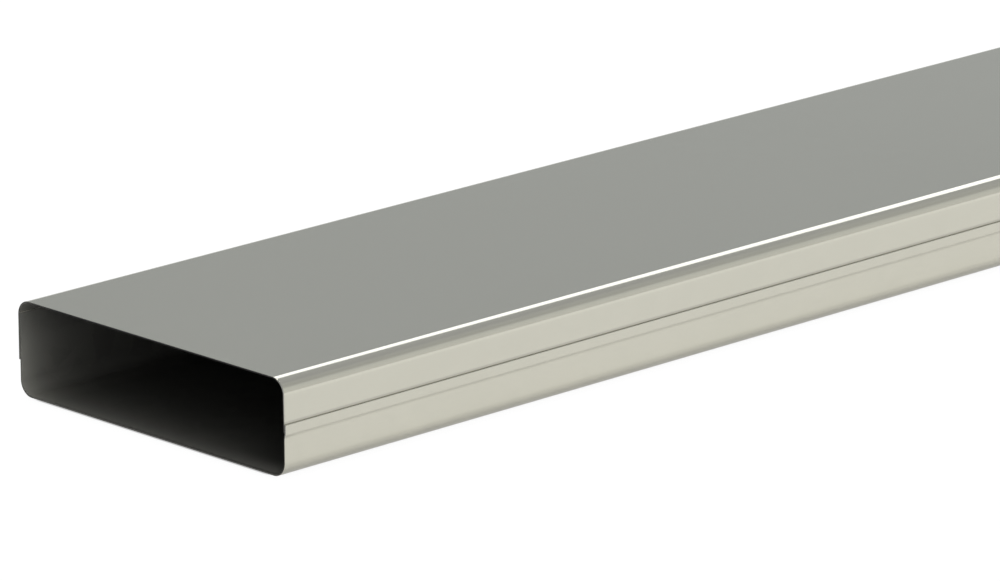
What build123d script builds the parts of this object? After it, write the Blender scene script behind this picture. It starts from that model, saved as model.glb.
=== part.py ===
"""Flat channel duct, nominal 200 x 50, one stock length of folded galvanised sheet.

The duct is two folded sheets that close on each other with a seam on each narrow wall.
The upper shell is the wide top with two legs, and the lower shell is the wide bottom with
two legs. On the +X wall the lower shell ends in a lip that is set outwards by a joggle and
laps over the upper shell's leg. On the -X wall the upper shell's leg is the outer one, a
straight skirt that laps over the lower shell's leg.

X runs across the duct, Y along it and Z up. The origin is the middle of the bottom face.
"""

import os

from build123d import *

# Airway and sheet, in millimetres
LENGTH = 1000.0  # stock length
INNER_WIDTH = 200.0  # clear width between the narrow walls
INNER_HEIGHT = 50.0  # clear height between the wide walls
SHEET = 0.8  # thickness of the galvanised sheet
BEND_RADIUS = 7.5  # inside radius of the four long corner bends

# Seams, in millimetres
LAP_PLAY = 0.15  # clearance between two lapped sheets
LIP_REACH = 2.45  # how far the set-out lip on the +X wall rises past the middle
LIP_HEIGHT = 4.75  # height of the lip's flat, above the joggle
JOGGLE_RISE = 1.9  # height in which the joggle sets the lip outwards
JOGGLE_RADIUS = 4.6  # outside radius of the soft bend that starts the joggle
LIP_RADIUS = 0.2  # inside radius of the tight bend that ends it
TUCK_GAP = 0.5  # height between the joggle and the edge tucked behind the lip
SKIRT_REACH = 6.8  # how far the skirt on the -X wall drops past the middle
BEND_ENTRY = 1.0  # how far the covered leg behind it rises into the upper bend

# A lapped sheet stands one sheet and its play outside the one that it covers
lap_step = SHEET + LAP_PLAY
inner_side = INNER_WIDTH / 2
lapped_side = inner_side + lap_step

# Levels of the wide walls' inner faces and the middle between them
bottom_inside = SHEET
top_inside = bottom_inside + INNER_HEIGHT
middle = bottom_inside + INNER_HEIGHT / 2

# Levels of the seam on the +X wall
lip_edge = middle + LIP_REACH
joggle_top = lip_edge - LIP_HEIGHT
joggle_foot = joggle_top - JOGGLE_RISE
tucked_edge = joggle_top + TUCK_GAP

# Levels of the seam on the -X wall: the covered leg rises just into the upper bend, as far as
# the play between the sheets lets it, which keeps that wall smooth inside
skirt_edge = middle - SKIRT_REACH
covered_edge = top_inside - BEND_RADIUS + BEND_ENTRY

os.makedirs("parts", exist_ok=True)

# Lower shell: its inner face runs down the -X leg, across the bottom and up to the lip
with BuildPart() as lower_shell:
    with BuildSketch(Plane.XZ) as lower_section:
        with BuildLine() as lower_fold:
            FilletPolyline(
                (-inner_side, covered_edge),
                (-inner_side, bottom_inside),
                (inner_side, bottom_inside),
                (inner_side, joggle_foot),
                (lapped_side, joggle_top),
                (lapped_side, lip_edge),
                radius=[BEND_RADIUS, BEND_RADIUS, JOGGLE_RADIUS + SHEET, LIP_RADIUS],
            )
            offset(amount=SHEET, side=Side.RIGHT)
        make_face()
    extrude(amount=LENGTH / 2, both=True)

# Upper shell: its inner face runs up the tucked +X leg, across the top and down the skirt
with BuildPart() as upper_shell:
    with BuildSketch(Plane.XZ) as upper_section:
        with BuildLine() as upper_fold:
            FilletPolyline(
                (inner_side, tucked_edge),
                (inner_side, top_inside),
                (-lapped_side, top_inside),
                (-lapped_side, skirt_edge),
                radius=BEND_RADIUS,
            )
            offset(amount=SHEET, side=Side.RIGHT)
        make_face()
    extrude(amount=LENGTH / 2, both=True)

lower_shell.part.label = "lower_shell"
export_step(lower_shell.part, "parts/lower_shell.step")

upper_shell.part.label = "upper_shell"
export_step(upper_shell.part, "parts/upper_shell.step")
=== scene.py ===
# %% [markdown]
# # A flat channel duct
#
# This is a metre of flat air duct, 200 mm wide and 50 mm high inside, as it is sold in a stock
# length. It is folded from two galvanised sheets, 0.8 mm thick. They close on each other with a
# seam along each narrow wall.
#
# The sizes come from a construction model, which is loaded first and stays the master. Its bends
# are coarse facets, and a bend in bright metal draws a sharp line of light, so both sheets are
# folded again here with smooth bends, at the same place and size.

import math

import bmesh
import bpy
from mathutils import Euler, Matrix, Vector


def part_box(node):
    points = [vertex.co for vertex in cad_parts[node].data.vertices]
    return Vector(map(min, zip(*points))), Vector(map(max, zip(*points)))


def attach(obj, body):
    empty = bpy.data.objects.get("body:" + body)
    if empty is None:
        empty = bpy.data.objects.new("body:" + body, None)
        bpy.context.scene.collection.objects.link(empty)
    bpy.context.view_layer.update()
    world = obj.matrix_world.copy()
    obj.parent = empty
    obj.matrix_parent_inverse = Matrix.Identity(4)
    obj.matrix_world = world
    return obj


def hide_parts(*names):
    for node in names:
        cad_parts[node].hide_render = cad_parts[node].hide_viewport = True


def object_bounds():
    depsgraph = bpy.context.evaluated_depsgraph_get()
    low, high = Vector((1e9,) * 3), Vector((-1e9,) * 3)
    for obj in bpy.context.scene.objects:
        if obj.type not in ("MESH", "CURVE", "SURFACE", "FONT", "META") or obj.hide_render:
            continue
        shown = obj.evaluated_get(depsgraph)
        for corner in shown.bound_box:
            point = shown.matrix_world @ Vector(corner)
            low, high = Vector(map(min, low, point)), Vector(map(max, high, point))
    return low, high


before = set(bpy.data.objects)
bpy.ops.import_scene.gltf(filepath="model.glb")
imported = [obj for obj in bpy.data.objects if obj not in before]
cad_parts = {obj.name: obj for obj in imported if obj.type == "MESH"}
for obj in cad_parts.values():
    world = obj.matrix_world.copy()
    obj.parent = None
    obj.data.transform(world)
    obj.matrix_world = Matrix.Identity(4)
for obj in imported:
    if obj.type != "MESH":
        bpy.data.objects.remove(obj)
cad_low, cad_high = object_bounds()
lower_low, lower_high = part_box("lower_shell")
upper_low, upper_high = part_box("upper_shell")
print(len(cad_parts), "sheets from", tuple(cad_low), "to", tuple(cad_high))

# %% [markdown]
# ## What the sheet worker sets
#
# A folded sheet has few sizes: its thickness, the radius of the folding tool, and what each seam
# needs. The long sizes are read off the loaded model, so that they can't drift from it. All
# lengths are in metres, because that is what the model is loaded in.

# %% Sizes of the sheet and its seams
SHEET = 0.0008
BEND_RADIUS = 0.0075
LIP_REACH = 0.00245
LIP_HEIGHT = 0.00475
JOGGLE_RISE = 0.0019
JOGGLE_RADIUS = 0.0046
LIP_RADIUS = 0.0002
TUCK_GAP = 0.0005

half_length = cad_high[1]
duct_height = cad_high[2]
middle = duct_height / 2

lip_side = lower_high[0] - SHEET
skirt_side = upper_low[0] + SHEET
right_wall = upper_high[0] - SHEET
left_wall = lower_low[0] + SHEET

bottom_inside = SHEET
top_inside = duct_height - SHEET
lip_edge = middle + LIP_REACH
joggle_top = lip_edge - LIP_HEIGHT
joggle_foot = joggle_top - JOGGLE_RISE
tucked_edge = joggle_top + TUCK_GAP
skirt_edge = upper_low[2]
covered_edge = lower_high[2]

clear_width = 1000 * (right_wall - left_wall)
clear_height = 1000 * (top_inside - bottom_inside)
print(f"airway {clear_width:.1f} x {clear_height:.1f} mm")

# %% [markdown]
# ## A node tree that reads like arithmetic
#
# The finishes are made of patterns that are added, multiplied and blended. Placing each Math
# node by hand hides what is worked out, so a small class wraps an output socket and lets the
# usual signs add those nodes. Every other kind of node comes from its one method `node`, and the
# few that are needed again and again have a short name of their own.


# %% A wrapper for shader sockets
class Signal:
    """One output of a node. Arithmetic on it adds the Math nodes that work it out."""

    def __init__(self, tree, socket=None):
        self.tree = tree
        self.socket = socket

    def node(self, kind, settings=None, sockets=None, output=0):
        """Adds a node: its settings first, then the values or links of its sockets."""
        made = self.tree.nodes.new(kind)
        for name, value in (settings or {}).items():
            if name == "stops":
                ramp = made.color_ramp.elements
                while len(ramp) < len(value):
                    ramp.new(0.5)
                for stop, (place, colour) in zip(ramp, value):
                    stop.position = place
                    stop.color = (*colour, 1.0)
            else:
                setattr(made, name, value)
        for name, value in (sockets or {}).items():
            if isinstance(value, Signal):
                self.tree.links.new(value.socket, made.inputs[name])
            else:
                made.inputs[name].default_value = value
        return Signal(self.tree, made.outputs[output] if made.outputs else None)

    def math(self, operation, *values):
        return self.node("ShaderNodeMath", {"operation": operation}, dict(enumerate(values)))

    def __add__(self, other):
        return self.math("ADD", self, other)

    def __sub__(self, other):
        return self.math("SUBTRACT", self, other)

    def __rsub__(self, other):
        return self.math("SUBTRACT", other, self)

    def __mul__(self, other):
        return self.math("MULTIPLY", self, other)

    def __abs__(self):
        return self.math("ABSOLUTE", self)

    def larger(self, other):
        return self.math("MAXIMUM", self, other)

    def axis(self, name):
        """The X, Y or Z of a place or a direction."""
        return self.node("ShaderNodeSeparateXYZ", None, {"Vector": self}, output=name)

    def noise(self, scale, detail, output=0):
        """Soft noise at a place, from 0 to 1, with this many bumps to the metre."""
        sockets = {"Vector": self, "Scale": scale, "Detail": detail}
        return self.node("ShaderNodeTexNoise", None, sockets, output)

    def ramp(self, stops):
        """The colour that a list of stops gives for this value."""
        return self.node("ShaderNodeValToRGB", {"stops": stops}, {"Fac": self})

    def between(self, low, high):
        """0 below low, 1 above high, and a smooth step from one to the other."""
        ends = {"From Min": low, "From Max": high}
        kind = {"interpolation_type": "SMOOTHSTEP", "clamp": True}
        return self.node("ShaderNodeMapRange", kind, {"Value": self, **ends})

    def near(self, centre, reach):
        """1 at a value, falling smoothly to 0 at this distance from it."""
        return 1.0 - abs(self - centre).between(0.0, reach)

    def blend(self, low, high):
        """A colour between two, with this value as the share of the second.

        The Mix node has an A, a B and a Result for each kind of value, all of one name, so its
        colour sockets go by number."""
        colours = {"Factor": self, 6: low, 7: high}
        return self.node("ShaderNodeMix", {"data_type": "RGBA"}, colours, output=2)


def new_material(name):
    """A material with an empty tree, and the wrapper that fills it."""
    material = bpy.data.materials.new(name)
    material.use_nodes = True
    material.node_tree.nodes.clear()
    print("finish:", name)
    return material, Signal(material.node_tree)


def close_material(board, surface):
    board.node("ShaderNodeOutputMaterial", None, {"Surface": surface})


def close_metal(board, colour, metallic, roughness, relief=None):
    """Ends a material in one metal surface."""
    sockets = {"Base Color": colour, "Metallic": metallic, "Roughness": roughness}
    if relief:
        sockets["Normal"] = relief
    close_material(board, board.node("ShaderNodeBsdfPrincipled", None, sockets))


# %% [markdown]
# ## Zinc on rolled sheet
#
# Galvanised sheet is dipped in zinc and often passed between rolls, which leaves a bright grey
# metal with faint patterns: crystals of zinc about a centimetre across, hair lines along the
# rolling direction, and clouds. The photograph is too small to settle their sizes, so these are
# typical ones, kept faint. Noise moves the crystals' borders a little, because a plain Voronoi
# pattern has edges as straight as cut glass.
#
# A word on all the finishes below. The photograph shows how bright each place is, but not why.
# Where a finish speaks of wear, dust or dirt, that is a guess at the cause, and its numbers were
# set by comparing the picture's tones with the photograph's.

# %% The patterns in the zinc
CRYSTAL = 0.011
HAIR_LINE = 0.0011
HAIR_RUN = 0.110
CLOUD = 0.140


def zinc_patterns(board):
    """The place on the sheet, and the crystals, hair lines and clouds there, from 0 to 1."""
    place = board.node("ShaderNodeTexCoord", output="Object")
    feather = {0: place.noise(2 / CRYSTAL, detail=2.0, output="Color"), "Scale": CRYSTAL / 2}
    drift = board.node("ShaderNodeVectorMath", {"operation": "SCALE"}, feather)
    moved = board.node("ShaderNodeVectorMath", {"operation": "ADD"}, {0: place, 1: drift})
    cells = {"Vector": moved, "Scale": 1 / CRYSTAL}
    cell_tone = board.node("ShaderNodeTexVoronoi", None, cells, output="Color")
    crystal = board.node("ShaderNodeSeparateColor", None, {"Color": cell_tone})
    along_rolls = {"Vector": place, "Scale": (1 / HAIR_LINE, 1 / HAIR_RUN, 1 / HAIR_LINE)}
    hair = board.node("ShaderNodeMapping", None, along_rolls).noise(1.0, detail=2.0)
    cloud = place.noise(1 / CLOUD, detail=3.0)
    return place, crystal, hair, cloud


# %% [markdown]
# ## The outer face
#
# Outside, the coat is bright enough to mirror its surroundings softly: the floor in the narrow
# wall, the dome in the wide top, and everything between them in the bend. A soft dark line of
# painted shade runs over the open seam, and a faint one along the joggle, darkest at the near
# end. They stand in for the shade of the seam's gap and of the floor that the metal mirrors. The
# far end gets the like, and a line of painted shadow lies under the skirt on the unseen wall.
#
# These marks could be painted on an image. They all run straight along the duct, though, so a
# smooth step in the height draws each one, and it can't slip off its seam.

# %% The bright coat
ZINC_LIGHT = (0.615, 0.598, 0.511, 1.0)
ZINC_DARK = (0.590, 0.574, 0.490, 1.0)
ZINC_METAL = 0.9
ZINC_GLOSS = 0.095
CRYSTAL_TONE, HAIR_TONE, CLOUD_TONE = 0.40, 0.30, 0.30
CRYSTAL_GLOSS, HAIR_GLOSS, CLOUD_GLOSS = 0.010, 0.020, 0.030
HAIR_DEPTH = 0.000003
HAIR_RELIEF = 0.15
# Painted shade: the colour and sizes of the dark lines over the seam, along the joggle and under
# the skirt.
PAINTED_SHADE = (0.050, 0.049, 0.046, 1.0)
SEAM_SHADE_RISE = 0.0007
PAINTED_SHADE_REACH = 0.0013
SEAM_SHADE_SHARE = 0.28
JOGGLE_SHADE_RISE = 0.0005
JOGGLE_SHADE_RUN = 0.008
JOGGLE_SHADE_FADE = 0.6
JOGGLE_SHADE_SHARE = 0.25
SKIRT_SHADOW_DROP = 0.0004
SKIRT_SHADOW_REACH = 0.0010
SKIRT_SHADOW_SHARE = 0.50

bright_zinc, board = new_material("bright_zinc")
place, crystal, hair, cloud = zinc_patterns(board)
across, along, height = place.axis("X"), place.axis("Y"), place.axis("Z")
tone = crystal * CRYSTAL_TONE + hair * HAIR_TONE + cloud * CLOUD_TONE
gloss = (
    (crystal - 0.5) * CRYSTAL_GLOSS
    + (hair - 0.5) * HAIR_GLOSS
    + (cloud - 0.5) * CLOUD_GLOSS
    + ZINC_GLOSS
)
lines = {"Strength": HAIR_RELIEF, "Distance": HAIR_DEPTH, "Height": hair}
relief = board.node("ShaderNodeBump", None, lines)

# Painted shade over the seam and along the joggle, darker near both ends, and painted shadow
# under the skirt's edge on the left wall.
seam_shade = height.near(lip_edge + SEAM_SHADE_RISE, PAINTED_SHADE_REACH) * SEAM_SHADE_SHARE
at_ends = 1.0 - (half_length - abs(along)).between(0.0, JOGGLE_SHADE_RUN) * JOGGLE_SHADE_FADE
joggle_shade = height.near(joggle_foot + JOGGLE_SHADE_RISE, PAINTED_SHADE_REACH) * at_ends * JOGGLE_SHADE_SHARE
on_right = across.between(right_wall, right_wall + SHEET)
on_left = across.near(left_wall - SHEET, SHEET)
skirt_shadow = height.near(skirt_edge - SKIRT_SHADOW_DROP, SKIRT_SHADOW_REACH) * on_left * SKIRT_SHADOW_SHARE
painted_shade_lines = (seam_shade + joggle_shade) * on_right + skirt_shadow
# The painted shade lines are mixed into the coat's colour.
colour = painted_shade_lines.blend(tone.blend(ZINC_LIGHT, ZINC_DARK), PAINTED_SHADE)
close_metal(board, colour, ZINC_METAL, gloss, relief)

# %% [markdown]
# ## The airway's face
#
# In the photograph the inside of the mouth is brightest near its left edge and nearly black a
# few centimetres in. Much of that is surely light that hardly reaches in. Plain zinc stays
# brighter under this studio's light, though, so part of the darkness is put into the finish.
# Its colour is far darker than real zinc, and under a light held into the duct it will look so.
#
# The finish is dull. Painted light brightens it at both ends, most of all at the foot of the
# walls, and less deep into the duct high up. An exponential of the depth fades that painted
# light into painted shade. A narrow strip of painted light above the left leg softens the line
# of shade that the leg's edge would draw there. Painted shade darkens the bottom, more towards
# the right, and most at the very lip and in the right corner.

# %% The dull coat
# The lighter colour is the zinc as lit near the mouths. The darker one is painted shade deep in
# the airway, far darker than zinc.
LIT_ZINC = (0.525, 0.519, 0.468, 1.0)
SHADED_ZINC = (0.108, 0.107, 0.0995, 1.0)
BOTTOM_SHADE = (0.020, 0.020, 0.019, 1.0)
DULL_METAL = 0.5
DULL_ROUGH = 0.42
DULL_UNEVEN = 0.06
CRYSTAL_SHARE = 0.05
# How the painted light fades with depth, and how it changes with height.
PAINTED_LIGHT_DEPTH = 0.016
PAINTED_LIGHT_LESS_HIGH = 0.57
PAINTED_LIGHT_MORE_LOW = 0.22
PAINTED_LIGHT_SOONER_HIGH = 0.8
# Painted light above the left leg's edge: its reach, where it starts and its share.
LEG_LIGHT_REACH = 0.0012
LEG_LIGHT_START = 0.004
LEG_LIGHT_SHARE = 0.22
# Painted shade on the bottom and painted shadow in the right corner: their sizes and shares.
BOTTOM_SHADE_HEIGHT = 0.004
BOTTOM_SHADE_FROM, BOTTOM_SHADE_TO = 0.010, 0.030
BOTTOM_SHADE_SHARE = 0.38
BOTTOM_SHADE_MORE_RIGHT = 0.12
BOTTOM_SHADE_LIP = 0.0035
BOTTOM_SHADE_MORE_LIP = 0.6
CORNER_SHADOW_FROM, CORNER_SHADOW_TO = 0.006, 0.020
CORNER_SHADOW_SHARE = 0.4

dull_zinc, board = new_material("dull_zinc")
place, crystal, hair, cloud = zinc_patterns(board)
across, along, height = place.axis("X"), place.axis("Y"), place.axis("Z")
depth = half_length - abs(along)

# Painted light: brightest at the mouths and at the foot of the walls, reaching less far in high
# up, and fading exponentially with depth into painted shade.
high_up = height.between(bottom_inside + BEND_RADIUS, top_inside)
at_foot = 1.0 - height.between(bottom_inside + SHEET, bottom_inside + BEND_RADIUS)
light_by_height = 1.0 - high_up * PAINTED_LIGHT_LESS_HIGH + at_foot * PAINTED_LIGHT_MORE_LOW
light_fades_sooner = height.between(middle, top_inside) * PAINTED_LIGHT_SOONER_HIGH + 1.0
painted_light = board.math("EXPONENT", depth * light_fades_sooner * (-1 / PAINTED_LIGHT_DEPTH)) * light_by_height

# Painted light: a narrow lighter strip above the left leg's edge, against the line of shade the
# leg would draw, a little way into each mouth.
above_leg = 1.0 - (height - covered_edge).between(0.0, LEG_LIGHT_REACH)
beside_leg = 1.0 - across.between(skirt_side, left_wall)
past_lip = depth.between(0.0, LEG_LIGHT_START) * (1.0 - depth.between(LEG_LIGHT_START, PAINTED_LIGHT_DEPTH))
leg_light = above_leg * beside_leg * past_lip * LEG_LIGHT_SHARE
lit_and_crystal_share = painted_light * (1 - CRYSTAL_SHARE) + crystal * CRYSTAL_SHARE + leg_light

# Painted shade on the bottom: darker towards the right and most at the very lip, with a painted
# shadow in the right corner.
bottom_darkening = across.between(left_wall - BOTTOM_SHADE_FROM, left_wall + BOTTOM_SHADE_TO) * BOTTOM_SHADE_SHARE
bottom_darkening = bottom_darkening + across.between(left_wall, right_wall) * BOTTOM_SHADE_MORE_RIGHT
at_lip = (1.0 - depth.between(0.0, BOTTOM_SHADE_LIP)) * BOTTOM_SHADE_MORE_LIP + 1.0
to_corner = across.between(right_wall / 4, right_wall)
corner_shadow = to_corner * depth.between(CORNER_SHADOW_FROM, CORNER_SHADOW_TO) * CORNER_SHADOW_SHARE
on_bottom = 1.0 - height.between(bottom_inside, bottom_inside + BOTTOM_SHADE_HEIGHT)
bottom_shade = on_bottom * (bottom_darkening * at_lip + corner_shadow)

# The airway's colour: painted light and painted shade over the zinc's crystal tone.
colour = bottom_shade.blend(lit_and_crystal_share.blend(SHADED_ZINC, LIT_ZINC), BOTTOM_SHADE)
close_metal(board, colour, DULL_METAL, hair * DULL_UNEVEN + cloud * DULL_UNEVEN + DULL_ROUGH)

# %% [markdown]
# ## The slit edge
#
# The long edges are taken to be slit on the coil and smoothed by rolls, so they are a duller
# grey than the face. The left leg's edge, up in the bend behind the skirt, lies in shade and
# would draw a dark line in the mouth where none is seen. So painted light makes it lighter, and
# it is made duller, to sink into what lies around it, except just inside the mouths. One finish
# serves both kinds of edge, because the height tells them apart.

# %% The slit edge
SLIT_LIGHT = (0.66, 0.65, 0.56, 1.0)
SLIT_DARK = (0.60, 0.59, 0.51, 1.0)
# The colour of the painted light on the left leg's edge.
SLIT_PAINTED_LIGHT = (0.75, 0.74, 0.67, 1.0)
SLIT_METAL = 0.5
COVERED_LESS_METAL = 0.2
SLIT_ROUGH = 0.28
SLIT_UNEVEN = 0.1
# How far in from each mouth the painted light is held back, and by how much.
NEAR_MOUTH_DEPTH = 0.006
NEAR_MOUTH_SHARE = 0.9

slit_edge, board = new_material("slit_edge")
place, crystal, hair, cloud = zinc_patterns(board)
along, height = place.axis("Y"), place.axis("Z")
# Painted light: the left leg's edge behind the skirt is made lighter against its shade, less so
# just inside the mouths.
near_mouths = 1.0 - (half_length - abs(along)).between(0.0, NEAR_MOUTH_DEPTH)
covered = height.between(lip_edge, covered_edge) * (1.0 - near_mouths * NEAR_MOUTH_SHARE)
colour = covered.blend(hair.blend(SLIT_DARK, SLIT_LIGHT), SLIT_PAINTED_LIGHT)
metallic = SLIT_METAL - covered * COVERED_LESS_METAL
close_metal(board, colour, metallic, hair * SLIT_UNEVEN + SLIT_ROUGH)

# %% [markdown]
# ## The sheared end
#
# The two ends are sheared, and bare steel shows there. The photograph's near end is a thin dark
# outline, nearly black away from the left corner and the foot, and lighter up the right wall, on
# the lip and along the foot. All of that is put into the finish, though some of it may be shade,
# so the ends are darker than fresh steel. The blade's scores are half a millimetre apart, too
# fine to model, so noise drives a bump.

# %% The sheared end
EDGE_LIGHT = (0.085, 0.083, 0.074, 1.0)
EDGE_DARK = (0.045, 0.044, 0.040, 1.0)
# The darkest and the lighter tones of the end, set by place.
EDGE_DARKEST = (0.006, 0.006, 0.006, 1.0)
EDGE_LIGHTER = (0.26, 0.254, 0.235, 1.0)
EDGE_METAL = 0.7
EDGE_ROUGH = 0.35
EDGE_UNEVEN = 0.2
SCORE = 0.0005
SCORE_DEPTH = 0.00003
SCORE_RELIEF = 0.4
DARKEST_FROM_LEFT = 0.028
DARKEST_FROM_FOOT = 0.012
LIP_SHARE = 0.9
FOOT_SHARE = 0.5

sheared_end, board = new_material("sheared_end")
place = board.node("ShaderNodeTexCoord", output="Object")
across, height = place.axis("X"), place.axis("Z")
score = place.noise(1 / SCORE, detail=2.0)
cuts = {"Strength": SCORE_RELIEF, "Distance": SCORE_DEPTH, "Height": score}
relief = board.node("ShaderNodeBump", None, cuts)

# Nearly black away from the left corner and the foot.
to_right = across.between(skirt_side, skirt_side + DARKEST_FROM_LEFT)
darkest = to_right * height.between(0.0, DARKEST_FROM_FOOT)
end_tone = darkest.blend(score.blend(EDGE_DARK, EDGE_LIGHT), EDGE_DARKEST)

# Lighter up the right wall, on the lip and along the foot.
on_wall = across.between(right_wall - BEND_RADIUS, right_wall)
on_wall = on_wall * height.between(joggle_foot, top_inside - BEND_RADIUS)
on_lip = across.between(right_wall + SHEET, lip_side) * LIP_SHARE
on_foot = 1.0 - height.between(SHEET, 2 * SHEET)
on_foot = on_foot * across.between(left_wall, left_wall + 2 * BEND_RADIUS) * FOOT_SHARE
colour = on_wall.larger(on_lip).larger(on_foot).blend(end_tone, EDGE_LIGHTER)
close_metal(board, colour, EDGE_METAL, score * EDGE_UNEVEN + EDGE_ROUGH, relief)

# %% [markdown]
# ## Folding a sheet
#
# On the bench a flat blank goes under the folding bar, and each fold turns up one wall. The
# model follows that: a plane is the wide wall, its long side is extruded once for each further
# flat, and then the sharp folds are bevelled round. A bevel draws the arc between two flats, so
# its offset is the distance from the fold to where the arc starts, which is the radius times the
# tangent of half the turn.

# %% Tools for folding
STRIPS = 20
BEND_STEPS = 18
JOGGLE_STEPS = 10
NEAR = 1e-6


def only(piece):
    """Leaves edit mode, with this one object selected and active."""
    bpy.ops.object.mode_set(mode="OBJECT")
    bpy.ops.object.select_all(action="DESELECT")
    piece.select_set(True)
    bpy.context.view_layer.objects.active = piece


def select_edges(piece, wanted):
    """Selects the edges along Y whose two ends lie at one of the wanted places (x, z)."""
    sheet = bmesh.from_edit_mesh(piece.data)
    chosen = 0
    for line in sheet.edges:
        ends = [(corner.co.x, corner.co.z) for corner in line.verts]
        hit = any(all(math.dist(end, spot) < NEAR for end in ends) for spot in wanted)
        line.select_set(hit)
        chosen += hit
    sheet.select_flush_mode()
    bmesh.update_edit_mesh(piece.data)
    return chosen


def wide_wall(name, left, right, level):
    """The flat that the folds start from: a plane cut into strips along its length."""
    bpy.ops.object.select_all(action="DESELECT")
    bpy.ops.mesh.primitive_plane_add(size=1, location=((left + right) / 2, 0, level))
    wall = bpy.context.object
    wall.name = name
    wall.scale = (right - left, 2 * half_length, 1)
    bpy.ops.object.transform_apply(location=True, rotation=True, scale=True)
    bpy.ops.object.mode_set(mode="EDIT")
    bpy.ops.mesh.select_mode(type="EDGE")
    bpy.ops.mesh.select_all(action="DESELECT")
    select_edges(wall, [(left, level), (right, level)])
    bpy.ops.mesh.subdivide(number_cuts=STRIPS - 1)
    return wall


def fold_on(piece, path):
    """Extrudes the sheet's free side through the places (x, z) of a path, from its first one."""
    for here, there in zip(path, path[1:]):
        bpy.ops.mesh.select_all(action="DESELECT")
        select_edges(piece, [here])
        step = (there[0] - here[0], 0, there[1] - here[1])
        bpy.ops.mesh.extrude_region_move(TRANSFORM_OT_translate={"value": step})


def round_fold(piece, spots, radius, turn, steps):
    """Bevels the sharp folds at the given places (x, z) to an arc."""
    bpy.ops.mesh.select_all(action="DESELECT")
    chosen = select_edges(piece, spots)
    start = radius * math.tan(turn / 2)
    bpy.ops.mesh.bevel(offset=start, segments=steps, profile=0.5, affect="EDGES")
    print(f"{piece.name}: {chosen} edges rounded to {1000 * radius:.1f} mm")


# %% [markdown]
# ## From a surface to a sheet
#
# Solidify gives the folded surface its thickness. The surface is the airway's side of the sheet
# and its faces look into the airway, so the thickness grows away from them, and every bend comes
# out one sheet larger outside than inside. The finishes are stacked in that order too: airway,
# outside, long edges and, once their faces are known by their direction, the two sheared ends. A
# small bevel breaks the sharp corners that a shear leaves. Weighted normals keep the flats flat:
# without them, the first facet of a bend would tilt what the whole wall mirrors.

# %% Tools for the sheet's body
EDGE_BREAK = 0.0001
EDGE_BREAK_STEPS = 2
EDGE_TURN = math.radians(60)
SMOOTH_TURN = math.radians(35)
FLAT_WEIGHT = 100
FACES_ALONG = 0.9
FINISHES = [dull_zinc, bright_zinc, slit_edge, sheared_end]
OUTSIDE, LONG_EDGE, SHEARED_END = 1, 2, 3


def apply(piece, kind, **settings):
    """Adds a modifier, sets it and applies it."""
    modifier = piece.modifiers.new(kind.lower(), kind)
    for name, value in settings.items():
        setattr(modifier, name, value)
    bpy.ops.object.modifier_apply(modifier=modifier.name)


def face_airway(piece):
    """Turns the surface so that its faces look towards the duct's middle line."""
    bpy.ops.mesh.select_all(action="SELECT")
    bpy.ops.mesh.normals_make_consistent(inside=False)
    sheet = bmesh.from_edit_mesh(piece.data)
    widest = max(sheet.faces, key=lambda face: face.calc_area())
    inwards = Vector((0, 0, middle)) - widest.calc_center_median()
    if widest.normal.dot(inwards) < 0:
        bpy.ops.mesh.flip_normals()


def make_sheet(piece):
    """Gives the folded surface its thickness, rim and finishes."""
    face_airway(piece)
    only(piece)
    for finish in FINISHES:
        piece.data.materials.append(finish)
    skins = {"material_offset": OUTSIDE, "material_offset_rim": LONG_EDGE}
    apply(piece, "SOLIDIFY", thickness=SHEET, offset=-1, use_even_offset=True, **skins)
    for face in piece.data.polygons:
        if face.material_index == LONG_EDGE and abs(face.normal.y) > FACES_ALONG:
            face.material_index = SHEARED_END
    corners = {"limit_method": "ANGLE", "angle_limit": EDGE_TURN}
    apply(piece, "BEVEL", width=EDGE_BREAK, segments=EDGE_BREAK_STEPS, **corners)
    bpy.ops.object.shade_smooth_by_angle(angle=SMOOTH_TURN)
    apply(piece, "WEIGHTED_NORMAL", weight=FLAT_WEIGHT, keep_sharp=True)
    print(f"{piece.name}: {len(piece.data.polygons)} faces")


# %% [markdown]
# ## The lower shell
#
# The lower shell is the wide bottom with two legs. The left leg is plain. It stands behind the
# upper shell's skirt and rises just into the upper bend. The right leg has a joggle, a double
# bend that sets its last few millimetres outwards by one sheet, so that the upper shell's leg
# can tuck in behind this lip. Its first bend is soft and its second one is tight.

# %% Fold the lower shell
lower = wide_wall("lower_sheet", left_wall, right_wall, bottom_inside)
fold_on(lower, [(left_wall, bottom_inside), (left_wall, covered_edge)])
lip_path = [
    (right_wall, bottom_inside),
    (right_wall, joggle_foot),
    (lip_side, joggle_top),
    (lip_side, lip_edge),
]
fold_on(lower, lip_path)

joggle_turn = math.atan2(lip_side - right_wall, JOGGLE_RISE)
square_turn = math.radians(90)
round_fold(lower, [lip_path[1]], JOGGLE_RADIUS + SHEET, joggle_turn, JOGGLE_STEPS)
round_fold(lower, [lip_path[2]], LIP_RADIUS, joggle_turn, JOGGLE_STEPS)
bottom_folds = [(left_wall, bottom_inside), (right_wall, bottom_inside)]
round_fold(lower, bottom_folds, BEND_RADIUS, square_turn, BEND_STEPS)
make_sheet(lower)

# %% [markdown]
# ## The upper shell
#
# The upper shell is the wide top with two legs. Its right leg stops just above the joggle,
# behind the lip. Its left leg is the skirt: it stands one sheet further out and runs straight
# down past the middle, over the lower shell's leg.

# %% Fold the upper shell
upper = wide_wall("upper_sheet", skirt_side, right_wall, top_inside)
fold_on(upper, [(skirt_side, top_inside), (skirt_side, skirt_edge)])
fold_on(upper, [(right_wall, top_inside), (right_wall, tucked_edge)])
top_folds = [(skirt_side, top_inside), (right_wall, top_inside)]
round_fold(upper, top_folds, BEND_RADIUS, square_turn, BEND_STEPS)
make_sheet(upper)

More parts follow.
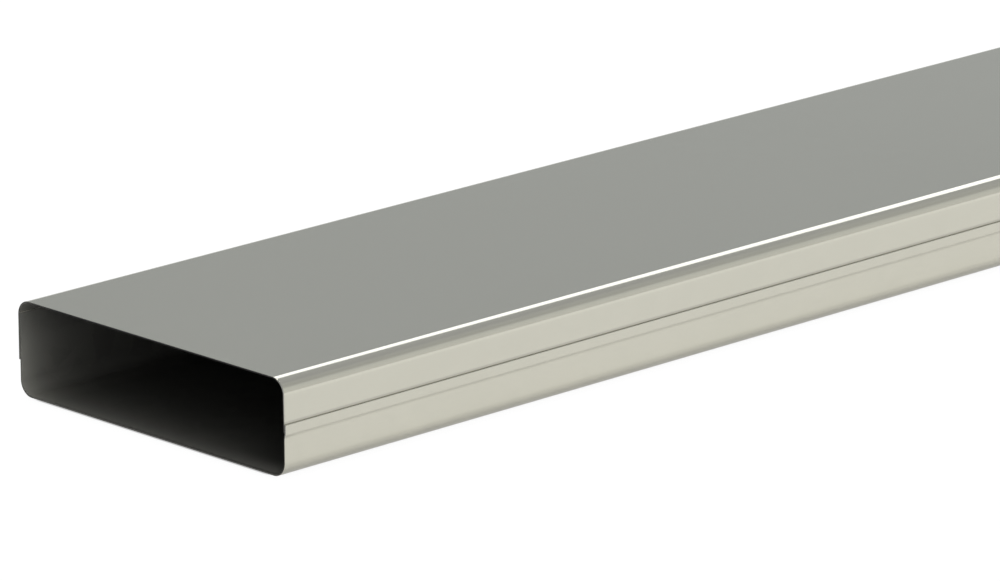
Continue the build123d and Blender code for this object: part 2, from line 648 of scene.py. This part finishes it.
# %% [markdown]
# ## Handing the sheets over
#
# Nothing on the duct moves, so both sheets ride on its one body. Each stands for the piece of
# the construction model that it was folded over, and takes its place in the picture.

# %% Join the sheets to the construction model
for piece, node in ((lower, "lower_shell"), (upper, "upper_shell")):
    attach(piece, "root")
    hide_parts(node)
    print(piece.name, "stands for", node)

# %% [markdown]
# ## The studio: a floor that is white in the picture
#
# The duct lies on white. Lamps alone could light a floor to white, but then the metal would
# mirror its glare. So the floor is a pale matt plane, and Light Path lifts it to white for the
# camera. That leaves a little of the floor's own shading, so that the duct's soft shadow stays
# on it. A narrow contact shade before each end is painted on, to match the photograph's.
#
# In the metal's mirror the floor keeps most of its own shading, which darkens the lower bend
# towards the floor. That bend squeezes a wide stretch of floor into a few millimetres. To give
# the bend the photograph's bands, the floor's glow in the mirror has lighter and darker
# stretches beside the duct, where a plain floor would have none. They were set by comparing the
# bends, and their distances count from where the bend leaves the floor.

# %% The floor
FLOOR_SIZE = 60.0
FLOOR_DROP = 0.0002
FLOOR_COLOUR = (0.85, 0.85, 0.85, 1.0)
WHITE = (1.0, 1.0, 1.0, 1.0)
CONTACT = (0.58, 0.58, 0.58, 1.0)
CONTACT_REACH = 0.0016
SEEN_LIFT = 1.04
SEEN_SHARE = 0.92
MIRRORED_LIFT = 1.30
MIRRORED_SHARE = 0.16
MIRRORED_FLOOR = [
    (0.0010, (1.03, 1.03, 1.00)),
    (0.0042, (1.50, 1.52, 1.62)),
    (0.0066, (1.01, 1.01, 1.07)),
    (0.0100, (1.14, 1.15, 1.24)),
    (0.0155, (0.79, 0.79, 0.79)),
    (0.0210, (0.78, 0.78, 0.78)),
    (0.0310, (0.92, 0.92, 0.92)),
    (0.0450, (0.90, 0.90, 0.90)),
    (0.0640, (0.79, 0.79, 0.79)),
    (0.1140, (0.78, 0.78, 0.78)),
    (0.1440, (1.30, 1.30, 1.30)),
    (0.2790, (1.36, 1.36, 1.36)),
    (0.4600, (1.00, 1.00, 1.00)),
    (1.0000, (0.66, 0.66, 0.66)),
]

bpy.ops.object.select_all(action="DESELECT")
bpy.ops.mesh.primitive_plane_add(size=FLOOR_SIZE, location=(0, 0, cad_low[2] - FLOOR_DROP))
floor = bpy.context.object
floor.name = "floor"

floor_paint, board = new_material("floor_paint")
seen = board.node("ShaderNodeLightPath", output="Is Camera Ray")
mirrored = board.node("ShaderNodeLightPath", output="Is Glossy Ray")
through = board.node("ShaderNodeLightPath", output="Is Transmission Ray")
place = board.node("ShaderNodeTexCoord", output="Object")
aside = abs(place.axis("X")) - right_wall + BEND_RADIUS
before_end = 1.0 - (abs(place.axis("Y")) - half_length).between(0.0, CONTACT_REACH)
contact = before_end * (1.0 - aside.between(-BEND_RADIUS, 0.0))

matt = board.node("ShaderNodeBsdfDiffuse", None, {"Color": FLOOR_COLOUR})
glow = {"Color": aside.ramp(MIRRORED_FLOOR), "Strength": MIRRORED_LIFT}
mirror_glow = board.node("ShaderNodeEmission", None, glow)
lit = {"Color": contact.blend(WHITE, CONTACT), "Strength": SEEN_LIFT}
seen_glow = board.node("ShaderNodeEmission", None, lit)
mirror_mix = {"Fac": mirrored.larger(through) * MIRRORED_SHARE, 1: matt, 2: mirror_glow}
in_mirror = board.node("ShaderNodeMixShader", None, mirror_mix)
view_mix = {"Fac": seen * SEEN_SHARE, 1: in_mirror, 2: seen_glow}
close_material(board, board.node("ShaderNodeMixShader", None, view_mix))
floor.data.materials.append(floor_paint)
print(f"floor: {FLOOR_SIZE:.0f} m square")

# %% [markdown]
# ## The studio: a soft dome
#
# Metal shows what surrounds it. The dome is grey overhead and brighter towards the horizon. Its
# left half, which the wide top mirrors, is darker and a little cooler low down than its right
# half, which the bend mirrors in soft bands. Its front half, before the near mouth, is a plain
# mid grey on the left and darker ahead, with one glow on the right. So light reaches the
# airway's left wall and leaves the rest of it dark. A picture of a real studio could serve too,
# but colour ramps can be tuned band by band. They were, by comparing the metal with the
# photograph's, so they fit that view best and aren't the real studio. The camera itself looks
# at white.

# %% The dome
DOME_LEFT = [
    (0.00, (0.80, 0.81, 0.82)),
    (0.15, (0.58, 0.60, 0.61)),
    (0.25, (0.420, 0.443, 0.461)),
    (0.30, (0.372, 0.393, 0.410)),
    (0.50, (0.47, 0.49, 0.52)),
    (0.75, (0.465, 0.485, 0.51)),
    (1.00, (0.54, 0.55, 0.56)),
]
DOME_RIGHT = [
    (0.00, (0.83, 0.84, 0.84)),
    (0.08, (0.76, 0.77, 0.77)),
    (0.18, (0.74, 0.755, 0.755)),
    (0.29, (0.74, 0.76, 0.76)),
    (0.38, (0.67, 0.69, 0.69)),
    (0.45, (0.54, 0.555, 0.56)),
    (0.52, (0.48, 0.495, 0.50)),
    (0.66, (0.495, 0.51, 0.525)),
    (0.73, (0.42, 0.43, 0.46)),
    (1.00, (0.54, 0.55, 0.56)),
]
DOME_FRONT = [
    (0.00, (0.38, 0.39, 0.40)),
    (0.50, (0.33, 0.34, 0.35)),
    (0.72, (0.24, 0.24, 0.25)),
    (0.88, (0.85, 0.85, 0.85)),
    (1.00, (1.10, 1.10, 1.10)),
]
FRONT_GLOW = (0.83, -0.41, 0.37)
LEFT_ENDS, RIGHT_STARTS = -0.45, 0.25
FRONT_ENDS, BACK_STARTS = -0.35, 0.05

world = bpy.data.worlds.new("studio_dome")
world.use_nodes = True
world.node_tree.nodes.clear()
bpy.context.scene.world = world
board = Signal(world.node_tree)
gaze = board.node("ShaderNodeTexCoord", output="Generated")
across, along, height = gaze.axis("X"), gaze.axis("Y"), gaze.axis("Z")
facing = {"operation": "DOT_PRODUCT"}
to_glow = board.node("ShaderNodeVectorMath", facing, {0: gaze, 1: FRONT_GLOW}, output="Value")
front = (to_glow * 0.5 + 0.5).ramp(DOME_FRONT)
left, right = height.ramp(DOME_LEFT), height.ramp(DOME_RIGHT)
back = across.between(LEFT_ENDS, RIGHT_STARTS).blend(left, right)
dome_colour = along.between(FRONT_ENDS, BACK_STARTS).blend(front, back)
dome = board.node("ShaderNodeBackground", None, {"Color": dome_colour, "Strength": 1.0})
backdrop = board.node("ShaderNodeBackground", None, {"Color": WHITE, "Strength": 1.0})
seen = board.node("ShaderNodeLightPath", output="Is Camera Ray")
sky = board.node("ShaderNodeMixShader", None, {"Fac": seen, 1: dome, 2: backdrop})
board.node("ShaderNodeOutputWorld", None, {"Surface": sky})
print("dome:", world.name)

# %% [markdown]
# ## The studio: two lamps
#
# The thin white line along the upper bend is the mirror image of one large softbox, high on the
# far left. A bend squeezes everything from the horizon to the zenith into a few millimetres, so
# even a lamp as tall as a person is only a line there. Its lower edge has to stay above what the
# flat top mirrors, or the whole top would flare.
#
# The second lamp hangs almost overhead, a little to the left. It lights the floor, and its soft
# shadow lies along the foot of the right wall, where the lower bend mirrors it.

# %% The lamps
LAMP_AIM = Vector((0, -0.2, middle))
SOFTBOX = {
    "azimuth": math.radians(34),
    "low": math.radians(23.3),
    "high": math.radians(44.4),
    "width": 3.6,
    "distance": 6.0,
    "radiance": 1.42,
    "colour": (0.99, 1.0, 1.05),
}
OVERHEAD = {
    "azimuth": math.radians(50),
    "low": math.radians(74),
    "high": math.radians(96),
    "width": 1.6,
    "distance": 4.0,
    "radiance": 12.15,
    "colour": (1.0, 1.0, 1.0),
}


def soft_lamp(name, azimuth, low, high, width, distance, radiance, colour):
    """A lamp facing the duct. Azimuth counts to the left of +Y, low and high are its edges."""
    rise = (low + high) / 2
    tall = 2 * distance * math.tan((high - low) / 2)
    level = math.cos(rise)
    way = Vector((-math.sin(azimuth) * level, math.cos(azimuth) * level, math.sin(rise)))
    light = bpy.data.lights.new(name, "AREA")
    light.shape = "RECTANGLE"
    light.size = width
    light.size_y = tall
    light.energy = radiance * math.pi * width * tall
    light.color = colour
    lamp = bpy.data.objects.new(name, light)
    bpy.context.scene.collection.objects.link(lamp)
    lamp.location = LAMP_AIM + way * distance
    lamp.rotation_euler = way.to_track_quat("Z", "Y").to_euler()
    lamp.visible_camera = False
    print(f"{name}: {width:.1f} x {tall:.1f} m, {light.energy:.0f} W")


soft_lamp("softbox", **SOFTBOX)
soft_lamp("overhead", **OVERHEAD)

# %% [markdown]
# ## The camera
#
# The photograph was taken with a long lens from well to the right and a little above, so the
# duct's long edges hardly converge. The values below were solved from the slopes of those edges
# and the corners of the near end.

# %% The camera
CAMERA_AT = Vector((2.61055, -2.79118, 1.09145))
CAMERA_AZIMUTH = math.radians(45.7974)
CAMERA_ELEVATION = math.radians(16.3073)
CAMERA_ROLL = math.radians(-0.14)
LENS = 257.86
SENSOR = 36.0
FARTHEST_SEEN = 200.0

camera_data = bpy.data.cameras.new("camera")
camera_data.lens = LENS
camera_data.sensor_width = SENSOR
camera_data.clip_end = FARTHEST_SEEN
camera = bpy.data.objects.new("camera", camera_data)
bpy.context.scene.collection.objects.link(camera)
camera.location = CAMERA_AT
aim = Euler((math.pi / 2 - CAMERA_ELEVATION, 0, CAMERA_AZIMUTH)).to_matrix()
camera.rotation_euler = (aim @ Matrix.Rotation(CAMERA_ROLL, 3, "Z")).to_euler()
bpy.context.scene.camera = camera
bpy.context.scene.view_settings.view_transform = "Standard"
print(f"camera: {CAMERA_AT.length:.1f} m from the duct's middle")
